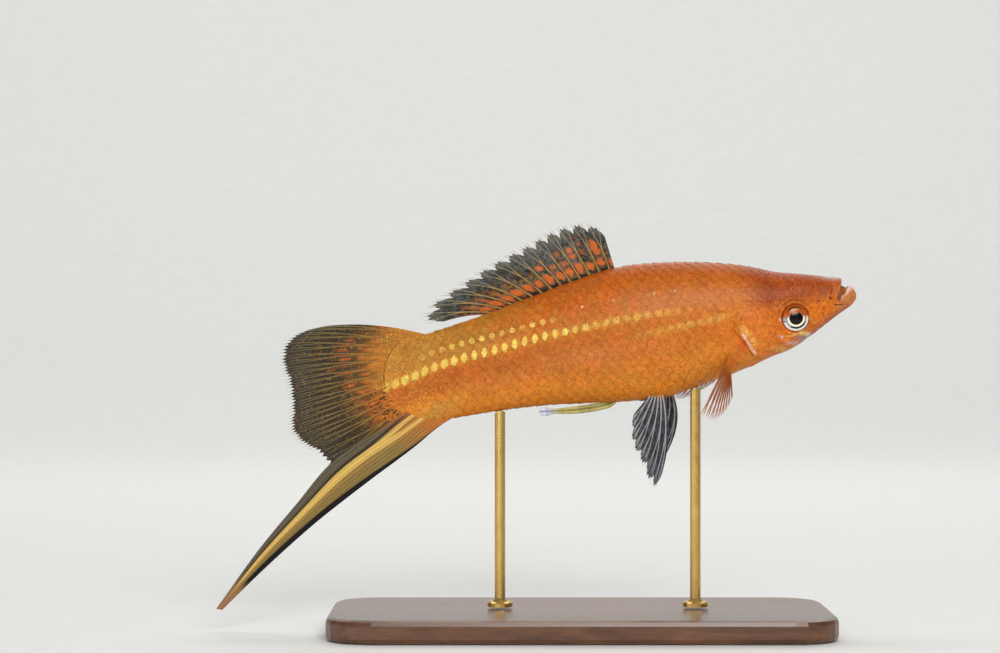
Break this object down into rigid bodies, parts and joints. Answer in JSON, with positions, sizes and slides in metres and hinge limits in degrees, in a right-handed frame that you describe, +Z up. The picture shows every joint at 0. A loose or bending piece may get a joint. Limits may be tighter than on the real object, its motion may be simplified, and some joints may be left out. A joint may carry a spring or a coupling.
{
  "type": "swordtail fish model on a display stand",
  "caption": "Life-size still model of a male swordtail swimming nose up, with raised dorsal fin, fan tail and long lower sword, on a flat wooden base with two thin brass rods.",
  "frame": {"origin": "centre of the underside of the stand's base", "axes": "+X towards the fish's head, along the base's long side; +Y to the fish's left; +Z up"},
  "size_m": [0.0961, 0.036, 0.0615],
  "materials": {
    "skin": "wet red-orange scaled skin, gold marks along the side",
    "eye": "clear wet cornea over a silver-gold ring and a black pupil",
    "dorsal_fin": "tan rays, smoky grey web, orange spots",
    "tail_fin": "olive-grey web and rays with orange streaks at the root",
    "sword": "gold-yellow stripe over a black lower margin",
    "pale_fin": "blue-silver web with whitish rays",
    "orange_fin": "clear web with orange rays",
    "stand_wood": "dark satin walnut",
    "stand_brass": "brushed satin"
  },
  "bodies": {
    "root": {"head": "skin", "lower_jaw": "skin", "gill_cover_right": "skin", "gill_cover_left": "skin", "torso": "skin", "tail_stem": "skin", "eye_right": "eye", "eye_left": "eye", "dorsal_fin": "dorsal_fin", "tail_fin": "tail_fin", "sword": "sword", "gonopodium": "pale_fin", "pelvic_fin_right": "pale_fin", "pelvic_fin_left": "pale_fin", "pectoral_fin_right": "orange_fin", "pectoral_fin_left": "orange_fin", "stand_base": "stand_wood", "stand_rod_front": "stand_brass", "stand_rod_rear": "stand_brass"}
  },
  "joints": []
}
